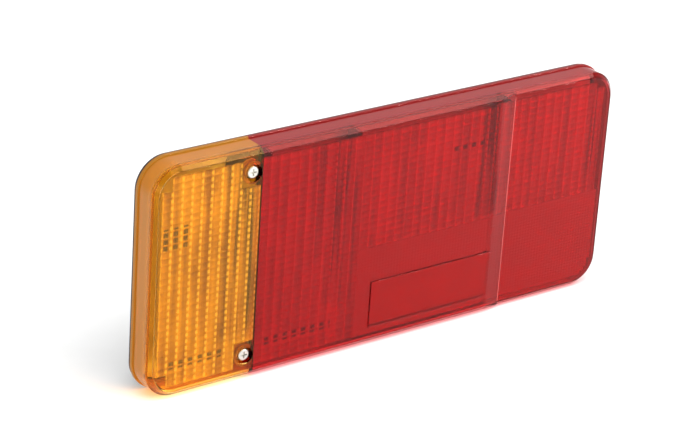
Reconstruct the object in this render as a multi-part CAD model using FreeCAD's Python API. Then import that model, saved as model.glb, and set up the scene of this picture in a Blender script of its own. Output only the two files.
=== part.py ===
"""Trailer tail light: a two-colour lens over a black bulb housing.

Frame, in millimetres: origin at the centre of the mounting face, +X towards the
red end, -Y out through the lens, +Z up. The housing's rim plane carries the lens.
"""
import FreeCAD, Part
import math
import os

from FreeCAD import Vector

# ---- lens and housing outline ----
OVERALL_WIDTH = 350.0
OVERALL_HEIGHT = 150.0
CORNER_RADIUS = 20.0
LENS_DEPTH = 18.8
POD_DEPTH = 24.0
RIM_PLANE = -POD_DEPTH
FACE_PLANE = RIM_PLANE - LENS_DEPTH
HALF_WIDTH = OVERALL_WIDTH / 2
HALF_HEIGHT = OVERALL_HEIGHT / 2

# ---- lens ----
LENS_WALL = 2.4
RIM_THICKNESS = 2.2
RIM_STEP = 1.0
RIM_FOOT = 5.0
FACE_CHAMFER = 3.4
FACE_FILLET = 0.9
RIM_FILLET = 0.5
COLOUR_SPLIT_X = -HALF_WIDTH + 75.5
STEP_RAMP_LENGTH = 11.5
STEP_RAMP_END_X = HALF_WIDTH - 83.5
STEP_RAMP_START_X = STEP_RAMP_END_X - STEP_RAMP_LENGTH
STEP_DEPTH = 2.0
STEP_CHAMFER = 2.8

# ---- raised reflex panel on the lens and the prism plate behind it ----
REFLEX_WIDTH = 94.0
REFLEX_HEIGHT = 31.5
REFLEX_RIGHT_X = STEP_RAMP_START_X
REFLEX_LEFT_X = REFLEX_RIGHT_X - REFLEX_WIDTH
REFLEX_LOW_Z = -HALF_HEIGHT + 12.0
REFLEX_HIGH_Z = REFLEX_LOW_Z + REFLEX_HEIGHT
REFLEX_RAISE = 0.8
REFLEX_EDGE_RADIUS = 0.6
REFLEX_PLATE_INSET = 1.5
REFLEX_PLATE_THICKNESS = 2.0

# ---- lens screws, M4 pan head with a cross recess ----
SCREW_X = COLOUR_SPLIT_X - 6.0
SCREW_Z = HALF_HEIGHT - 15.6
SCREW_HEAD_RECESS = 1.2
SCREW_HEAD_RADIUS = 4.0
SCREW_HEAD_HEIGHT = 2.4
SCREW_EDGE_ROUND = 1.1
SCREW_RADIUS = 1.95
SCREW_LENGTH = 17.0
SCREW_CROSS_WIDTH = 0.9
SCREW_CROSS_SPAN = 4.4
SCREW_CROSS_DEPTH = 1.5
SCREW_TIP_CLEARANCE = 0.1
WASHER_RADIUS = SCREW_HEAD_RADIUS + 0.6
WASHER_THICKNESS = 0.8
WASHER_HOLE_CLEARANCE = 0.08
POCKET_RADIUS = SCREW_HEAD_RADIUS + 1.5
POCKET_WALL = 1.8
POCKET_HOLE_CLEARANCE = 0.35
INSERT_WALL = 0.95
INSERT_RADIUS = SCREW_RADIUS + INSERT_WALL
INSERT_LENGTH = 8.0
INSERT_THREAD_CLEARANCE = 0.08
TOWER_WALL = 1.8
TOWER_RADIUS = INSERT_RADIUS + TOWER_WALL
TOWER_GAP = 0.3
TOWER_BLIND_LENGTH = 1.5

# ---- base housing ----
FLANGE_INSET = 0.8
FLANGE_THICKNESS = 2.4
POD_SIDE_INSET = 20.0
POD_TOP_INSET = 14.5
POD_CORNER_RADIUS = 12.0
POD_WALL = 2.2
POD_HALF_WIDTH = HALF_WIDTH - POD_SIDE_INSET
POD_HALF_HEIGHT = HALF_HEIGHT - POD_TOP_INSET
POD_INNER_HALF_WIDTH = POD_HALF_WIDTH - POD_WALL
POD_INNER_HALF_HEIGHT = POD_HALF_HEIGHT - POD_WALL
FLOOR_THICKNESS = 2.5
PARTITION_XS = (COLOUR_SPLIT_X + 9.5, -24.5, HALF_WIDTH - 85.0)
PARTITION_THICKNESS = 1.6
PARTITION_FRONT_GAP = 2.4
PARTITION_SIDE_GAP = 3.0
WIREWAY_HEIGHT = 2.5

# ---- seal in the flange groove ----
SEAL_INSET = 1.5
SEAL_WIDTH = 2.0
SEAL_DEPTH = 1.2
SEAL_CLEARANCE = 0.1

# ---- claws at the red end that the lens swings on ----
HINGE_X = HALF_WIDTH
CLAW_OFFSET_Z = HALF_HEIGHT - 40.0
CLAW_ZS = (-CLAW_OFFSET_Z, CLAW_OFFSET_Z)
CLAW_HEIGHT = 12.0
KNUCKLE_RADIUS = 4.84
CLAW_CLEARANCE = 0.3
CLAW_THICKNESS = 1.8
CLAW_TIP_ANGLE = 57.0
CLAW_PAD_DEPTH = 3.0
SLOT_INSET = 4.2
SLOT_END_GAP = 0.5
CLAW_POCKET_WALL = 1.5
KNUCKLE_INSET = 2.3

# ---- mounting studs, M6 with flat round heads ----
STUD_SPACING = 152.0
STUD_RADIUS = 3.0
STUD_COLLAR_RADIUS = 4.0
STUD_LENGTH = 18.0
STUD_HEAD_RADIUS = 8.0
STUD_HEAD_THICKNESS = 1.8
STUD_HOLE_CLEARANCE = 0.06

# ---- cable grommet ----
CABLE_Y = -12.5
CABLE_BORE_RADIUS = 3.5
GROMMET_NECK_HALF_WIDTH = 6.0
GROMMET_LIP = 2.0
GROMMET_LIP_THICKNESS = 1.5

# ---- bulbs: 12 V, 26.5 mm glass on a 15 mm bayonet cap ----
END_BULB_INSET = 53.0
BULB_XS = (-HALF_WIDTH + END_BULB_INSET, (PARTITION_XS[0] + PARTITION_XS[1]) / 2,
           (PARTITION_XS[1] + PARTITION_XS[2]) / 2, HALF_WIDTH - END_BULB_INSET)
BULB_Y = -21.0
BULB_BASE_Z = -POD_INNER_HALF_HEIGHT + 19.8
BULB_LENGTH = 52.5
GLASS_RADIUS = 13.25
GLASS_WALL = 0.8
CAP_RADIUS = 7.5
CAP_LENGTH = 16.0
CAP_WALL = 0.5
GLASS_NECK_CLEARANCE = 0.1
GLASS_NECK_RADIUS = CAP_RADIUS - CAP_WALL - GLASS_NECK_CLEARANCE
CAP_TIP_RADIUS = 2.6
CAP_TIP_HEIGHT = 0.8
PIN_RADIUS = 1.0
PIN_REACH = CAP_RADIUS + 1.0
PIN_HEIGHT = 7.0
FILAMENT_SPAN = 6.0
FILAMENT_COIL_RADIUS = 0.6
FILAMENT_COIL_WIRE = 0.18
FILAMENT_COIL_PITCH = 0.6
FILAMENT_POST_RADIUS = 0.35
STEM_RADIUS = 2.2
STEM_LENGTH = 9.0

# ---- bulb sockets ----
SOCKET_BORE_CLEARANCE = 0.08
SOCKET_WALL = 0.8
SOCKET_LENGTH = 25.5
SOCKET_RIM_Z = BULB_BASE_Z + 12.5
SOCKET_DISC_THICKNESS = 1.5
PIN_SLOT_CLEARANCE = 0.25
PUSH_TRAVEL = 2.0
BAYONET_TURN = 18.0
SOCKET_LEG_WIDTH = 8.0
SOCKET_LEG_THICKNESS = 1.2
PLUNGER_RADIUS = CAP_RADIUS - 0.9
PLUNGER_THICKNESS = 2.0
SPRING_RADIUS = PLUNGER_RADIUS - 2.0
SPRING_WIRE_RADIUS = 0.35
SPRING_TURNS = 4.5
SPRING_END_GAP = 0.05

# ---- reflectors ----
REFLECTOR_SHEET = 0.8
REFLECTOR_BACK_Y = -5.0
REFLECTOR_SIDE_GAP = 0.5
REFLECTOR_BRIM_INSET = 9.0
REFLECTOR_BRIM_GAP = 6.0
REFLECTOR_CORNER_RADIUS = 12.0
REFLECTOR_BACK_RADIUS = 8.0
REFLECTOR_SLOPE_X = 9.0
REFLECTOR_SLOPE_Z = 14.0
REFLECTOR_NOTCH_HALF_WIDTH = CAP_RADIUS + 4.0
REFLECTOR_NOTCH_TOP_Z = SOCKET_RIM_Z + 3.0
REFLECTOR_TOWER_CLEARANCE = 4.5

# ---- contact strips on the housing floor ----
STRIP_THICKNESS = 0.8
STRIP_WIDTH = 3.0
EARTH_STRIP_WIDTH = 5.0
INDICATOR_LANE_Z = -POD_INNER_HALF_HEIGHT + 2.3
POLE_ROW_Z = INDICATOR_LANE_Z + 6.0
TAIL_LANE_Z = POLE_ROW_Z + 6.0
EARTH_LANE_Z = TAIL_LANE_Z + 7.5
FEED_RISER_WIDTH = 5.0
FEED_RISER_TOP_Y = BULB_Y - 3.0
CHAMBERS = ("indicator", "tail", "stop", "fog")
FEED_LANES = (INDICATOR_LANE_Z, TAIL_LANE_Z, POLE_ROW_Z, POLE_ROW_Z)
FEED_POLES = (2, 1, 0, 4)
EARTH_POLE = 3

# ---- terminal block ----
POLE_PITCH = 8.0
TERMINAL_PAD_WIDTH = 6.0
TERMINAL_CHAMBER = 2
FIRST_POLE_X = BULB_XS[TERMINAL_CHAMBER] + 17.25
CABLE_X = FIRST_POLE_X + 2 * POLE_PITCH
BLOCK_MARGIN = 4.0
BLOCK_HEIGHT = 9.0
BLOCK_DEPTH = 9.5
TERMINAL_SCREW_RADIUS = 1.75
TERMINAL_HEAD_RADIUS = 2.6
TERMINAL_HEAD_HEIGHT = 1.6
TERMINAL_SLOT_WIDTH = 0.8
TERMINAL_CLEARANCE = 0.1
TERMINAL_COUNT = 5
WIRE_HOLE_RADIUS = 1.5

FLOOR_Y = -FLOOR_THICKNESS
STRIP_TOP_Y = FLOOR_Y - STRIP_THICKNESS
FLANGE_REAR_Y = RIM_PLANE + FLANGE_THICKNESS
SCREW_HEAD_TOP_Y = FACE_PLANE + SCREW_HEAD_RECESS
SCREW_SEAT_Y = SCREW_HEAD_TOP_Y + SCREW_HEAD_HEIGHT
POCKET_FLOOR_Y = SCREW_SEAT_Y + WASHER_THICKNESS
POCKET_UNDERSIDE_Y = POCKET_FLOOR_Y + LENS_WALL
TOWER_TOP_Y = POCKET_UNDERSIDE_Y + TOWER_GAP
SCREW_TIP_Y = SCREW_SEAT_Y + SCREW_LENGTH
SOCKET_INNER_RADIUS = CAP_RADIUS + SOCKET_BORE_CLEARANCE
SOCKET_OUTER_RADIUS = SOCKET_INNER_RADIUS + SOCKET_WALL
SOCKET_FOOT_Z = SOCKET_RIM_Z - SOCKET_LENGTH


# ---- shape helpers ----
def block(low, high):
    """Box between two opposite corners."""
    sizes = [b - a for a, b in zip(low, high)]
    return Part.makeBox(*sizes, Vector(*low))


def rod(radius, start, end):
    """Cylinder from one point to another."""
    axis = Vector(*end) - Vector(*start)
    return Part.makeCylinder(radius, axis.Length, Vector(*start), axis)


def rounded_slab(half_width, half_height, radius, front_y, back_y):
    """Plate in the XZ plane with round corners, between two Y planes."""
    slab = block((-half_width, front_y, -half_height), (half_width, back_y, half_height))
    corners = [edge for edge in slab.Edges if edge.BoundBox.YLength > 0.5 * (back_y - front_y)]
    return slab.makeFillet(radius, corners)


def inset_slab(inset, front_y, back_y):
    """Plate that follows the lens outline, set in by the same distance all round."""
    return rounded_slab(HALF_WIDTH - inset, HALF_HEIGHT - inset, CORNER_RADIUS - inset, front_y, back_y)


def edges_at_y(shape, y):
    """All edges that lie flat in one Y plane."""
    return [e for e in shape.Edges if abs(e.BoundBox.YMin - y) < 1e-4 and abs(e.BoundBox.YMax - y) < 1e-4]


def extruded_z(points, low_z, high_z):
    """Prism along Z over a closed outline of XY points."""
    outline = [Vector(x, y, low_z) for x, y in points]
    face = Part.Face(Part.makePolygon(outline + outline[:1]))
    return face.extrude(Vector(0, 0, high_z - low_z))


def revolved_z(points, centre_x, centre_y):
    """Solid of revolution about a vertical axis from (radius, z) points."""
    outline = [Vector(centre_x + r, centre_y, z) for r, z in points]
    face = Part.Face(Part.makePolygon(outline + outline[:1]))
    return face.revolve(Vector(centre_x, centre_y, 0), Vector(0, 0, 1), 360)


def quarter_ring(inner, outer, low_z, high_z):
    """Quarter of a tube about the lens hinge axis, from -X round to +Y."""
    ring = Part.makeCylinder(outer, high_z - low_z, Vector(HINGE_X, RIM_PLANE, low_z), Vector(0, 0, 1), 90)
    if inner > 0:
        ring = ring.cut(Part.makeCylinder(inner, high_z - low_z, Vector(HINGE_X, RIM_PLANE, low_z)))
    ring.rotate(Vector(HINGE_X, RIM_PLANE, 0), Vector(0, 0, 1), 90)
    return ring


# ---- lens ----
def lens_block(depth, chamfer):
    """Outer block of the lens in front of its rim, with a chamfered and softened front edge."""
    front_y = RIM_PLANE - depth
    solid = inset_slab(RIM_STEP, front_y, RIM_PLANE)
    solid = solid.makeChamfer(chamfer, edges_at_y(solid, front_y))
    return solid.makeFillet(FACE_FILLET, edges_at_y(solid, front_y))


def lens_hollow(depth, chamfer):
    """Space inside the lens, one wall in from the outer block."""
    front_y = RIM_PLANE - depth + LENS_WALL
    inner_chamfer = chamfer - LENS_WALL * (2 - math.sqrt(2))
    solid = inset_slab(RIM_STEP + LENS_WALL, front_y, RIM_PLANE)
    return solid.makeChamfer(inner_chamfer, edges_at_y(solid, front_y))


def stepped(maker):
    """Joins the deep amber and red part to the shallower red end over a ramp."""
    deep = maker(LENS_DEPTH, FACE_CHAMFER)
    shallow = maker(LENS_DEPTH - STEP_DEPTH, STEP_CHAMFER)
    front = deep.BoundBox.YMin
    margin = 1.0
    ramp = extruded_z([(STEP_RAMP_START_X, front), (STEP_RAMP_START_X, front - margin),
                       (HALF_WIDTH, front - margin), (HALF_WIDTH, RIM_PLANE),
                       (STEP_RAMP_END_X, RIM_PLANE), (STEP_RAMP_END_X, front + STEP_DEPTH)],
                      -HALF_HEIGHT, HALF_HEIGHT)
    end_box = block((STEP_RAMP_END_X, front - margin, -HALF_HEIGHT), (HALF_WIDTH, RIM_PLANE, HALF_HEIGHT))
    return deep.cut(ramp).fuse(shallow.common(end_box))


def reflex_panel():
    """Raised rectangle on the lens face."""
    front_y = FACE_PLANE - REFLEX_RAISE
    panel = block((REFLEX_LEFT_X, front_y, REFLEX_LOW_Z),
                  (REFLEX_RIGHT_X, FACE_PLANE + LENS_WALL / 2, REFLEX_HIGH_Z))
    return panel.makeFillet(REFLEX_EDGE_RADIUS, edges_at_y(panel, front_y))


def lens_claws():
    """Pads inside the rim with the curved claws that hook round the housing's knuckles."""
    inner = KNUCKLE_RADIUS + CLAW_CLEARANCE
    outer = inner + CLAW_THICKNESS
    claws = []
    for z in CLAW_ZS:
        low_z = z - CLAW_HEIGHT / 2
        high_z = z + CLAW_HEIGHT / 2
        claw = quarter_ring(inner, outer, low_z, high_z)
        claw = claw.common(block((HINGE_X - outer, RIM_PLANE, low_z),
                                 (HINGE_X - inner * math.cos(math.radians(CLAW_TIP_ANGLE)),
                                  RIM_PLANE + outer, high_z)))
        pad = block((HINGE_X - outer - LENS_WALL / 2, RIM_PLANE - CLAW_PAD_DEPTH, low_z),
                    (HINGE_X - RIM_STEP - LENS_WALL, RIM_PLANE, high_z))
        claws += [claw, pad]
    return claws


def screw_pocket(z):
    """Round pocket wall and floor that the screw head sits in."""
    radius = POCKET_RADIUS + POCKET_WALL
    return rod(radius, (SCREW_X, FACE_PLANE + LENS_WALL / 2, z), (SCREW_X, POCKET_UNDERSIDE_Y, z))


def whole_lens():
    """Complete lens, before it is split into its two colours."""
    rim = inset_slab(0, RIM_PLANE - RIM_THICKNESS, RIM_PLANE)
    rim = rim.makeFillet(RIM_FILLET, edges_at_y(rim, RIM_PLANE - RIM_THICKNESS))
    foot = inset_slab(RIM_STEP, RIM_PLANE - RIM_THICKNESS, RIM_PLANE)
    foot_hollow = inset_slab(RIM_FOOT, RIM_PLANE - RIM_THICKNESS, RIM_PLANE)
    shell = rim.fuse(stepped(lens_block)).cut(stepped(lens_hollow))
    shell = shell.fuse(foot.cut(foot_hollow))
    shell = shell.fuse([reflex_panel()] + lens_claws() + [screw_pocket(z) for z in (-SCREW_Z, SCREW_Z)])
    for z in (-SCREW_Z, SCREW_Z):
        shell = shell.cut(rod(POCKET_RADIUS, (SCREW_X, FACE_PLANE - 1, z), (SCREW_X, POCKET_FLOOR_Y, z)))
        shell = shell.cut(rod(SCREW_RADIUS + POCKET_HOLE_CLEARANCE, (SCREW_X, POCKET_FLOOR_Y, z),
                              (SCREW_X, POCKET_UNDERSIDE_Y, z)))
    return shell


def lens_parts():
    """Amber and red mouldings, which meet face to face."""
    shell = whole_lens()
    low = (-HALF_WIDTH - 1, FACE_PLANE - 5, -HALF_HEIGHT - 1)
    high = (HALF_WIDTH + 1, 0, HALF_HEIGHT + 1)
    amber_side = block(low, (COLOUR_SPLIT_X, high[1], high[2]))
    red_side = block((COLOUR_SPLIT_X, low[1], low[2]), high)
    return shell.common(amber_side), shell.common(red_side)


def reflex_insert():
    """Prism plate bonded to the inside of the lens behind the raised panel."""
    front_y = FACE_PLANE + LENS_WALL
    return block((REFLEX_LEFT_X + REFLEX_PLATE_INSET, front_y, REFLEX_LOW_Z + REFLEX_PLATE_INSET),
                 (REFLEX_RIGHT_X - REFLEX_PLATE_INSET, front_y + REFLEX_PLATE_THICKNESS,
                  REFLEX_HIGH_Z - REFLEX_PLATE_INSET))


# ---- lens screws ----
def lens_screw(z):
    """Pan-head screw pointing into the housing."""
    head = rod(SCREW_HEAD_RADIUS, (SCREW_X, SCREW_SEAT_Y, z), (SCREW_X, SCREW_HEAD_TOP_Y, z))
    head = head.makeFillet(SCREW_EDGE_ROUND, edges_at_y(head, SCREW_HEAD_TOP_Y))
    half_width = SCREW_CROSS_WIDTH / 2
    half_span = SCREW_CROSS_SPAN / 2
    deep_y = SCREW_HEAD_TOP_Y + SCREW_CROSS_DEPTH
    bar = block((SCREW_X - half_span, SCREW_HEAD_TOP_Y - 1, z - half_width),
                (SCREW_X + half_span, deep_y, z + half_width))
    post = block((SCREW_X - half_width, SCREW_HEAD_TOP_Y - 1, z - half_span),
                 (SCREW_X + half_width, deep_y, z + half_span))
    shank = rod(SCREW_RADIUS, (SCREW_X, SCREW_SEAT_Y, z), (SCREW_X, SCREW_TIP_Y, z))
    return head.fuse(shank).cut(bar.fuse(post))


def screw_washer(z):
    """Sealing washer held on the screw under its head."""
    disc = rod(WASHER_RADIUS, (SCREW_X, SCREW_SEAT_Y, z), (SCREW_X, POCKET_FLOOR_Y, z))
    return disc.cut(rod(SCREW_RADIUS + WASHER_HOLE_CLEARANCE, (SCREW_X, SCREW_SEAT_Y, z),
                        (SCREW_X, POCKET_FLOOR_Y, z)))


def screw_insert(z):
    """Threaded brass insert in the top of a screw tower."""
    end_y = TOWER_TOP_Y + INSERT_LENGTH
    sleeve = rod(INSERT_RADIUS, (SCREW_X, TOWER_TOP_Y, z), (SCREW_X, end_y, z))
    return sleeve.cut(rod(SCREW_RADIUS + INSERT_THREAD_CLEARANCE, (SCREW_X, TOWER_TOP_Y, z),
                          (SCREW_X, end_y, z)))


# ---- base housing ----
def pod_shell():
    """Open box behind the flange."""
    outer = rounded_slab(POD_HALF_WIDTH, POD_HALF_HEIGHT, POD_CORNER_RADIUS, RIM_PLANE, 0)
    inner = rounded_slab(POD_INNER_HALF_WIDTH, POD_INNER_HALF_HEIGHT, POD_CORNER_RADIUS - POD_WALL,
                         RIM_PLANE, FLOOR_Y)
    flange = inset_slab(FLANGE_INSET, RIM_PLANE, FLANGE_REAR_Y)
    return flange.fuse(outer).cut(inner)


def chamber_wall(x):
    """Wall between two chambers, from the floor to just behind the lens, with a wireway at its foot."""
    left = x - PARTITION_THICKNESS / 2
    right = x + PARTITION_THICKNESS / 2
    front_y = FACE_PLANE + LENS_WALL + STEP_DEPTH + PARTITION_FRONT_GAP
    half_height = HALF_HEIGHT - RIM_FOOT - PARTITION_SIDE_GAP
    wall = block((left, front_y, -half_height), (right, RIM_PLANE, half_height))
    wall = wall.fuse(block((left, RIM_PLANE, -POD_INNER_HALF_HEIGHT),
                           (right, FLOOR_Y, POD_INNER_HALF_HEIGHT)))
    wireway = block((left, FLOOR_Y - WIREWAY_HEIGHT, INDICATOR_LANE_Z - STRIP_WIDTH),
                    (right, FLOOR_Y, EARTH_LANE_Z + EARTH_STRIP_WIDTH))
    return wall.cut(wireway)


def screw_tower(z):
    """Tower on the flange that holds a threaded insert."""
    return rod(TOWER_RADIUS, (SCREW_X, TOWER_TOP_Y, z), (SCREW_X, SCREW_TIP_Y + TOWER_BLIND_LENGTH, z))


def tower_bore(z):
    """Seat for the insert and the space below it for the screw's tip."""
    seat = rod(INSERT_RADIUS, (SCREW_X, TOWER_TOP_Y, z), (SCREW_X, TOWER_TOP_Y + INSERT_LENGTH, z))
    tip = rod(SCREW_RADIUS + POCKET_HOLE_CLEARANCE, (SCREW_X, TOWER_TOP_Y, z),
              (SCREW_X, SCREW_TIP_Y + SCREW_TIP_CLEARANCE, z))
    return seat.fuse(tip)


def claw_pocket(z):
    """Closed pocket behind the flange: the solid to add and the space to cut for one claw."""
    reach = KNUCKLE_RADIUS + CLAW_CLEARANCE + CLAW_THICKNESS + SLOT_END_GAP
    low_z = z - CLAW_HEIGHT / 2 - SLOT_END_GAP
    high_z = z + CLAW_HEIGHT / 2 + SLOT_END_GAP
    wall = CLAW_POCKET_WALL
    shell = block((HINGE_X - reach - wall, RIM_PLANE, low_z - wall),
                  (HINGE_X - FLANGE_INSET, RIM_PLANE + reach + wall, high_z + wall))
    knuckle = quarter_ring(0, KNUCKLE_RADIUS, low_z, high_z)
    knuckle = knuckle.common(block((HINGE_X - SLOT_INSET, RIM_PLANE, low_z),
                                   (HINGE_X, RIM_PLANE + reach, high_z)))
    space = block((HINGE_X - reach, RIM_PLANE, low_z), (HINGE_X - KNUCKLE_INSET, RIM_PLANE + reach, high_z))
    bridge = block((HINGE_X - SLOT_INSET, RIM_PLANE, low_z), (HINGE_X - KNUCKLE_INSET, FLANGE_REAR_Y, high_z))
    return shell, space.cut(knuckle).cut(bridge)


def base_housing():
    """Black moulded housing."""
    pockets = [claw_pocket(z) for z in CLAW_ZS]
    screw_zs = (-SCREW_Z, SCREW_Z)
    body = pod_shell()
    body = body.fuse([screw_tower(z) for z in screw_zs] + [shell for shell, space in pockets])
    groove = inset_slab(SEAL_INSET, RIM_PLANE, RIM_PLANE + SEAL_DEPTH)
    groove = groove.cut(inset_slab(SEAL_INSET + SEAL_WIDTH, RIM_PLANE, RIM_PLANE + SEAL_DEPTH))
    cuts = [groove] + [tower_bore(z) for z in screw_zs] + [space for shell, space in pockets]
    cuts += [rod(STUD_COLLAR_RADIUS + STUD_HOLE_CLEARANCE, (x, FLOOR_Y, 0), (x, 0, 0)) for x in stud_xs()]
    cuts.append(grommet_neck())
    return body.cut(cuts)


def lens_seal():
    """Rubber ring in the flange groove."""
    outer = inset_slab(SEAL_INSET + SEAL_CLEARANCE, RIM_PLANE, RIM_PLANE + SEAL_DEPTH)
    return outer.cut(inset_slab(SEAL_INSET + SEAL_WIDTH - SEAL_CLEARANCE, RIM_PLANE, RIM_PLANE + SEAL_DEPTH))


# ---- fixing and cable entry ----
def stud_xs():
    """X of each mounting stud."""
    return (-STUD_SPACING / 2, STUD_SPACING / 2)


def mounting_stud(x):
    """Stud whose flat head lies on the housing floor and whose collar fills the hole through it."""
    head = rod(STUD_HEAD_RADIUS, (x, FLOOR_Y - STUD_HEAD_THICKNESS, 0), (x, FLOOR_Y, 0))
    collar = rod(STUD_COLLAR_RADIUS, (x, FLOOR_Y, 0), (x, 0, 0))
    return head.fuse([collar, rod(STUD_RADIUS, (x, 0, 0), (x, STUD_LENGTH, 0))])


def grommet_slab(margin, front_y, low_z, high_z):
    """Block round the cable, wider than the neck by a margin on three sides."""
    half = GROMMET_NECK_HALF_WIDTH + margin
    return block((CABLE_X - half, front_y, low_z), (CABLE_X + half, CABLE_Y + half, high_z))


def grommet_neck():
    """Notch in the pod's lower wall, open to the rim so that the grommet slides in from the front."""
    return grommet_slab(0, RIM_PLANE, -POD_HALF_HEIGHT, -POD_INNER_HALF_HEIGHT)


def cable_grommet():
    """Rubber grommet that fills the notch, with a lip on each side of the wall."""
    outside = -POD_HALF_HEIGHT - GROMMET_LIP_THICKNESS
    inside = -POD_INNER_HALF_HEIGHT + GROMMET_LIP_THICKNESS
    outer_lip = grommet_slab(GROMMET_LIP, FLANGE_REAR_Y, outside, -POD_HALF_HEIGHT)
    inner_lip = grommet_slab(GROMMET_LIP, RIM_PLANE, -POD_INNER_HALF_HEIGHT, inside)
    body = grommet_neck().fuse([outer_lip, inner_lip])
    return body.cut(rod(CABLE_BORE_RADIUS, (CABLE_X, CABLE_Y, outside), (CABLE_X, CABLE_Y, inside)))


# ---- bulbs and sockets ----
def bulb_glass(x):
    """Round glass envelope on a neck that the cap grips."""
    neck_z = BULB_BASE_Z + CAP_LENGTH
    centre_z = BULB_BASE_Z + BULB_LENGTH - GLASS_RADIUS
    low_z = BULB_BASE_Z + CAP_LENGTH / 2

    def envelope(ball_radius, neck_radius):
        ball = Part.makeSphere(ball_radius, Vector(x, BULB_Y, centre_z))
        cone_top = centre_z - ball_radius / 2
        cone_radius = math.sqrt(ball_radius ** 2 - (ball_radius / 2) ** 2)
        outline = [(0, neck_z), (neck_radius, neck_z), (cone_radius, cone_top), (0, cone_top)]
        cone = revolved_z(outline, x, BULB_Y)
        neck = rod(neck_radius, (x, BULB_Y, low_z), (x, BULB_Y, neck_z))
        return ball.fuse([cone, neck])

    return envelope(GLASS_RADIUS, GLASS_NECK_RADIUS).cut(
        envelope(GLASS_RADIUS - GLASS_WALL, GLASS_NECK_RADIUS - GLASS_WALL))


def bulb_cap(x):
    """Bayonet cap with its two side pins and the contact tip."""
    top_z = BULB_BASE_Z + CAP_LENGTH
    tip_z = BULB_BASE_Z + CAP_TIP_HEIGHT
    shell = rod(CAP_RADIUS, (x, BULB_Y, tip_z), (x, BULB_Y, top_z))
    tip = rod(CAP_TIP_RADIUS, (x, BULB_Y, BULB_BASE_Z), (x, BULB_Y, tip_z))
    pin_z = BULB_BASE_Z + PIN_HEIGHT
    pins = rod(PIN_RADIUS, (x - PIN_REACH, BULB_Y, pin_z), (x + PIN_REACH, BULB_Y, pin_z))
    hollow = rod(CAP_RADIUS - CAP_WALL, (x, BULB_Y, BULB_BASE_Z + CAP_LENGTH / 2), (x, BULB_Y, top_z))
    return shell.fuse([tip, pins]).cut(hollow)


def bulb_filament(x):
    """Glass stem with two posts and the coiled wire between them."""
    stem_z = BULB_BASE_Z + CAP_LENGTH / 2
    stem_top = BULB_BASE_Z + CAP_LENGTH + STEM_LENGTH
    wire_z = BULB_BASE_Z + BULB_LENGTH - GLASS_RADIUS
    half = FILAMENT_SPAN / 2
    parts = [rod(STEM_RADIUS, (x, BULB_Y, stem_z), (x, BULB_Y, stem_top))]
    for side in (-1, 1):
        foot = (x + side * STEM_RADIUS / 2, BULB_Y, stem_top - 1)
        parts.append(rod(FILAMENT_POST_RADIUS, foot, (x + side * half, BULB_Y, wire_z)))
    wire = Part.Wire(Part.makeHelix(FILAMENT_COIL_PITCH, FILAMENT_SPAN, FILAMENT_COIL_RADIUS))
    start = Vector(FILAMENT_COIL_RADIUS, 0, 0)
    profile = Part.Wire(Part.makeCircle(FILAMENT_COIL_WIRE, start, Vector(0, 1, 0)))
    coil = wire.makePipeShell([profile], True, True)
    coil.rotate(Vector(0, 0, 0), Vector(0, 1, 0), 90)
    coil.translate(Vector(x - half, BULB_Y, wire_z))
    return parts[0].fuse(parts[1:] + [coil])


def bayonet_socket(x):
    """Bayonet shell with two slots, its insulating disc and the leg to the earth strip."""
    def at(z):
        return (x, BULB_Y, z)
    disc_top = SOCKET_FOOT_Z + SOCKET_DISC_THICKNESS
    shell = rod(SOCKET_OUTER_RADIUS, at(SOCKET_FOOT_Z), at(SOCKET_RIM_Z))
    shell = shell.cut(rod(SOCKET_INNER_RADIUS, at(disc_top), at(SOCKET_RIM_Z)))
    leg = block((x - SOCKET_LEG_WIDTH / 2, BULB_Y + SOCKET_INNER_RADIUS + SOCKET_WALL / 2,
                 EARTH_LANE_Z - SOCKET_LEG_THICKNESS / 2),
                (x + SOCKET_LEG_WIDTH / 2, STRIP_TOP_Y, EARTH_LANE_Z + SOCKET_LEG_THICKNESS / 2))
    leg = leg.cut(rod(SOCKET_INNER_RADIUS + SOCKET_WALL / 2, at(SOCKET_FOOT_Z), at(SOCKET_RIM_Z)))
    shell = shell.fuse(leg)
    half_slot = PIN_RADIUS + PIN_SLOT_CLEARANCE
    pin_z = BULB_BASE_Z + PIN_HEIGHT
    swing = SOCKET_OUTER_RADIUS * math.sin(math.radians(BAYONET_TURN))
    for side in (-1, 1):
        low_y = -half_slot if side > 0 else -swing - half_slot
        window = block((0, low_y, pin_z - PUSH_TRAVEL - half_slot),
                       (SOCKET_OUTER_RADIUS + 1, low_y + swing + 2 * half_slot, pin_z + half_slot))
        entry = block((0, -half_slot, pin_z - PUSH_TRAVEL - half_slot),
                      (SOCKET_OUTER_RADIUS + 1, half_slot, SOCKET_RIM_Z + 1))
        if side < 0:
            window.rotate(Vector(0, 0, 0), Vector(0, 0, 1), 180)
            window.translate(Vector(0, -swing, 0))
            entry.rotate(Vector(0, 0, 0), Vector(0, 0, 1), 180)
        entry.rotate(Vector(0, 0, 0), Vector(0, 0, 1), BAYONET_TURN)
        for cutter in (window, entry):
            cutter.translate(Vector(x, BULB_Y, 0))
            shell = shell.cut(cutter)
    return shell


def contact_plunger(x):
    """Sprung disc under the bulb's contact tip."""
    return rod(PLUNGER_RADIUS, (x, BULB_Y, BULB_BASE_Z - PLUNGER_THICKNESS), (x, BULB_Y, BULB_BASE_Z))


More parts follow.
